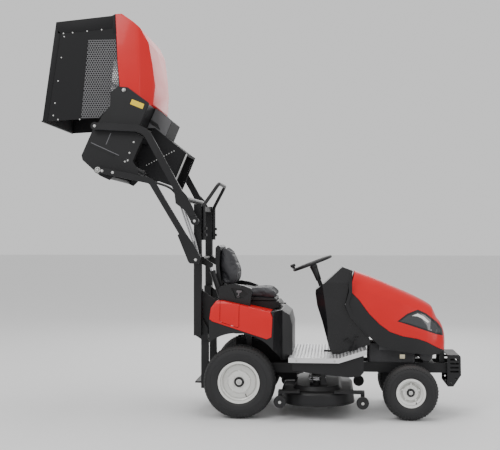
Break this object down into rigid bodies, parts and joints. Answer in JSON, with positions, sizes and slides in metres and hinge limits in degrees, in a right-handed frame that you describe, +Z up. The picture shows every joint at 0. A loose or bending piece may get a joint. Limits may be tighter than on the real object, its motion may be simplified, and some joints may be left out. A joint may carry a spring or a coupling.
{
  "type": "ride-on mower with high-tip grass collector",
  "caption": "Red and black ride-on mower with a belly deck, hydrostatic drive and a rear grass collector on a hydraulic mast, shown raised and tipped.",
  "frame": {"origin": "on the ground under the middle of the bounding box, on the centre plane", "axes": "+X forwards, +Z up, the machine's right-hand side at -Y"},
  "size_m": [3.374, 1.136, 3.239],
  "materials": {
    "frame_paint": "satin black powder coat",
    "body_red": "glossy red moulded plastic",
    "body_black": "grained black moulded plastic",
    "tyre": "black rubber",
    "rim_paint": "light grey paint",
    "tread_plate": "chequered aluminium sheet",
    "engine_metal": "cast and painted",
    "lens": "dark smoked lens",
    "seat_vinyl": "black seat vinyl",
    "bare_steel": "bright steel",
    "mesh": "perforated sheet",
    "hose": "spiral guarded hydraulic hose",
    "console_grey": "grained grey plastic"
  },
  "bodies": {
    "root": {"chassis_frame": "frame_paint", "transaxle": "engine_metal", "steering_column": "frame_paint", "engine": "engine_metal", "footboard": "tread_plate", "floor_supports": "frame_paint", "dash_cowl": "body_black", "fenders": "body_red", "wheel_arches": "body_black", "fuel_tank": "body_black", "front_guard": "frame_paint", "discharge_tunnel": "frame_paint", "mast": "frame_paint", "seat_base": "body_black", "consoles": "console_grey", "hoses": "hose"},
    "front_axle": {"front_axle": "frame_paint"},
    "knuckle_right": {"knuckle_right": "frame_paint"},
    "knuckle_left": {"knuckle_left": "frame_paint"},
    "tie_rod": {"tie_rod": "frame_paint"},
    "steering_wheel": {"steering_wheel": "body_black"},
    "spinner_knob": {"spinner_knob": "body_black"},
    "rear_wheel_right": {"rear_tyre_right": "tyre", "rear_rim_right": "rim_paint"},
    "rear_wheel_left": {"rear_tyre_left": "tyre", "rear_rim_left": "rim_paint"},
    "front_wheel_right": {"front_tyre_right": "tyre", "front_rim_right": "rim_paint"},
    "front_wheel_left": {"front_tyre_left": "tyre", "front_rim_left": "rim_paint"},
    "hood": {"hood": "body_red", "headlamps": "lens", "hood_sides": "body_black"},
    "deck": {"deck_shell": "frame_paint", "deck_frame": "frame_paint"},
    "blade_right": {"blade_right": "bare_steel"},
    "blade_left": {"blade_left": "bare_steel"},
    "deck_lift": {"deck_lift": "frame_paint"},
    "gauge_wheel_rear_right": {"gauge_wheel_rear_right": "body_black"},
    "gauge_wheel_rear_left": {"gauge_wheel_rear_left": "body_black"},
    "gauge_wheel_front_right": {"gauge_wheel_front_right": "body_black"},
    "gauge_wheel_front_left": {"gauge_wheel_front_left": "body_black"},
    "upper_arms": {"upper_arms": "frame_paint"},
    "lower_arm": {"lower_arm": "frame_paint"},
    "lift_barrels": {"lift_barrels": "frame_paint"},
    "lift_rods": {"lift_rods": "bare_steel"},
    "carrier": {"carrier_frame": "frame_paint", "duct": "frame_paint"},
    "container": {"container_cover": "body_red", "container_walls": "frame_paint", "side_meshes": "mesh"},
    "tip_ram_barrel": {"tip_ram_barrel": "frame_paint"},
    "tip_ram_rod": {"tip_ram_rod": "bare_steel"},
    "seat": {"seat_shell": "body_black", "seat_cushion": "seat_vinyl", "seat_back": "seat_vinyl"},
    "collector_lever": {"collector_lever": "console_grey"},
    "height_lever": {"height_lever": "console_grey"},
    "drive_pedal": {"drive_pedal": "frame_paint"},
    "brake_pedal": {"brake_pedal": "frame_paint"}
  },
  "joints": [
    {"name": "lift", "type": "hinge", "parent": "root", "child": "upper_arms", "pos_m": [-0.426, 0, 1.56], "axis": [0, -1, 0], "range_deg": [0, 97], "deforming": ["hoses"]},
    {"name": "lower_arm_pivot", "type": "hinge", "parent": "root", "child": "lower_arm", "pos_m": [-0.418, 0, 1.253], "axis": [0, -1, 0], "range_deg": [0, 105], "deforming": ["hoses"]},
    {"name": "carrier_tilt", "type": "hinge", "parent": "upper_arms", "child": "carrier", "pos_m": [-1.235, 0, 2.322], "axis": [0, -1, 0], "range_deg": [-80, 0], "deforming": ["hoses"]},
    {"name": "lift_barrel_pivot", "type": "hinge", "parent": "root", "child": "lift_barrels", "pos_m": [-0.227, 0, 0.88], "axis": [0, -1, 0], "range_deg": [-2, 14]},
    {"name": "lift_rod_slide", "type": "slide", "parent": "lift_barrels", "child": "lift_rods", "axis": [-0.3131, 0, 0.9497], "range_m": [-0.005, 0.17]},
    {"name": "tip", "type": "hinge", "parent": "carrier", "child": "container", "pos_m": [-1.0115, 0, 2.6175], "axis": [0, -1, 0], "range_deg": [0, 54]},
    {"name": "tip_barrel_pivot", "type": "hinge", "parent": "carrier", "child": "tip_ram_barrel", "pos_m": [-0.907, 0, 1.95], "axis": [0, -1, 0], "range_deg": [-2, 8]},
    {"name": "tip_rod_slide", "type": "slide", "parent": "tip_ram_barrel", "child": "tip_ram_rod", "axis": [-0.3948, 0, 0.9188], "range_m": [-0.25, 0.005]},
    {"name": "steering", "type": "hinge", "parent": "root", "child": "steering_wheel", "pos_m": [0.493, 0, 1.214], "axis": [-0.3584, 0, 0.9336], "range_deg": [-180, 180]},
    {"name": "knob_spin", "type": "hinge", "parent": "steering_wheel", "child": "spinner_knob", "pos_m": [0.34363, 0, 1.15666], "axis": [-0.3584, 0, 0.9336], "continuous": true},
    {"name": "front_axle_rock", "type": "hinge", "parent": "root", "child": "front_axle", "pos_m": [1.268, 0, 0.275], "axis": [1, 0, 0], "range_deg": [-5, 5]},
    {"name": "kingpin_right", "type": "hinge", "parent": "front_axle", "child": "knuckle_right", "pos_m": [1.268, -0.268, 0.275], "axis": [0, 0, 1], "range_deg": [-37, 37]},
    {"name": "kingpin_left", "type": "hinge", "parent": "front_axle", "child": "knuckle_left", "pos_m": [1.268, 0.268, 0.275], "axis": [0, 0, 1], "range_deg": [-37, 37]},
    {"name": "tie_rod_pivot", "type": "hinge", "parent": "knuckle_right", "child": "tie_rod", "pos_m": [1.158, -0.268, 0.212], "axis": [0, 0, 1], "range_deg": [-37, 37]},
    {"name": "rear_wheel_right_spin", "type": "hinge", "parent": "root", "child": "rear_wheel_right", "pos_m": [-0.077, -0.4, 0.2875], "axis": [0, 1, 0], "continuous": true},
    {"name": "rear_wheel_left_spin", "type": "hinge", "parent": "root", "child": "rear_wheel_left", "pos_m": [-0.077, 0.4, 0.2875], "axis": [0, 1, 0], "continuous": true},
    {"name": "front_wheel_right_spin", "type": "hinge", "parent": "knuckle_right", "child": "front_wheel_right", "pos_m": [1.268, -0.385, 0.2165], "axis": [0, 1, 0], "continuous": true},
    {"name": "front_wheel_left_spin", "type": "hinge", "parent": "knuckle_left", "child": "front_wheel_left", "pos_m": [1.268, 0.385, 0.2165], "axis": [0, 1, 0], "continuous": true},
    {"name": "hood_hinge", "type": "hinge", "parent": "root", "child": "hood", "pos_m": [1.543, 0, 0.5], "axis": [0, 1, 0], "range_deg": [0, 60]},
    {"name": "deck_height", "type": "slide", "parent": "root", "child": "deck", "axis": [0, 0, 1], "range_m": [-0.075, 0]},
    {"name": "deck_shaft", "type": "hinge", "parent": "root", "child": "deck_lift", "pos_m": [0.463, 0, 0.374], "axis": [0, 1, 0], "range_deg": [0, 45]},
    {"name": "height_lever_pivot", "type": "hinge", "parent": "root", "child": "height_lever", "pos_m": [-0.097, 0.34, 0.955], "axis": [0, 1, 0], "range_deg": [0, 25]},
    {"name": "blade_right_spin", "type": "hinge", "parent": "deck", "child": "blade_right", "pos_m": [0.538, -0.252, 0.2], "axis": [0, 0, 1], "continuous": true},
    {"name": "blade_left_spin", "type": "hinge", "parent": "deck", "child": "blade_left", "pos_m": [0.538, 0.252, 0.2], "axis": [0, 0, 1], "continuous": true},
    {"name": "gauge_wheel_rear_right_spin", "type": "hinge", "parent": "deck", "child": "gauge_wheel_rear_right", "pos_m": [0.251, -0.545, 0.153], "axis": [0, 1, 0], "continuous": true},
    {"name": "gauge_wheel_rear_left_spin", "type": "hinge", "parent": "deck", "child": "gauge_wheel_rear_left", "pos_m": [0.251, 0.545, 0.153], "axis": [0, 1, 0], "continuous": true},
    {"name": "gauge_wheel_front_right_spin", "type": "hinge", "parent": "deck", "child": "gauge_wheel_front_right", "pos_m": [0.891, -0.545, 0.153], "axis": [0, 1, 0], "continuous": true},
    {"name": "gauge_wheel_front_left_spin", "type": "hinge", "parent": "deck", "child": "gauge_wheel_front_left", "pos_m": [0.891, 0.545, 0.153], "axis": [0, 1, 0], "continuous": true},
    {"name": "seat_slide", "type": "slide", "parent": "root", "child": "seat", "axis": [1, 0, 0], "range_m": [-0.04, 0.08]},
    {"name": "collector_lever_pivot", "type": "hinge", "parent": "root", "child": "collector_lever", "pos_m": [-0.097, -0.33, 0.955], "axis": [0, 1, 0], "range_deg": [-22, 22]},
    {"name": "drive_pedal_pivot", "type": "hinge", "parent": "root", "child": "drive_pedal", "pos_m": [0.825, -0.304, 0.541], "axis": [0, -1, 0], "range_deg": [0, 20], "stiffness_Nm_per_rad": 3, "springref_deg": -17.19},
    {"name": "brake_pedal_pivot", "type": "hinge", "parent": "root", "child": "brake_pedal", "pos_m": [0.825, -0.324, 0.541], "axis": [0, 1, 0], "range_deg": [0, 20], "stiffness_Nm_per_rad": 3, "springref_deg": -17.19}
  ],
  "couplings": [
    {"joint": "lower_arm_pivot", "follows": "lift", "ratio": 1.058},
    {"joint": "carrier_tilt", "follows": "lift", "ratio": -0.798},
    {"joint": "lift_barrel_pivot", "follows": "lift", "ratio": 0.0097},
    {"joint": "lift_rod_slide", "follows": "lift", "m_per_rad": 0.089358},
    {"joint": "tip_barrel_pivot", "follows": "tip", "ratio": 0.10109},
    {"joint": "tip_rod_slide", "follows": "tip", "m_per_rad": -0.20977},
    {"joint": "kingpin_right", "follows": "steering", "ratio": 0.2},
    {"joint": "kingpin_left", "follows": "steering", "ratio": 0.2},
    {"joint": "tie_rod_pivot", "follows": "steering", "ratio": -0.2},
    {"joint": "deck_shaft", "follows": "deck_height", "rad_per_m": -10},
    {"joint": "height_lever_pivot", "follows": "deck_height", "rad_per_m": -5.5},
    {"joint": "blade_left_spin", "follows": "blade_right_spin", "ratio": 1}
  ]
}
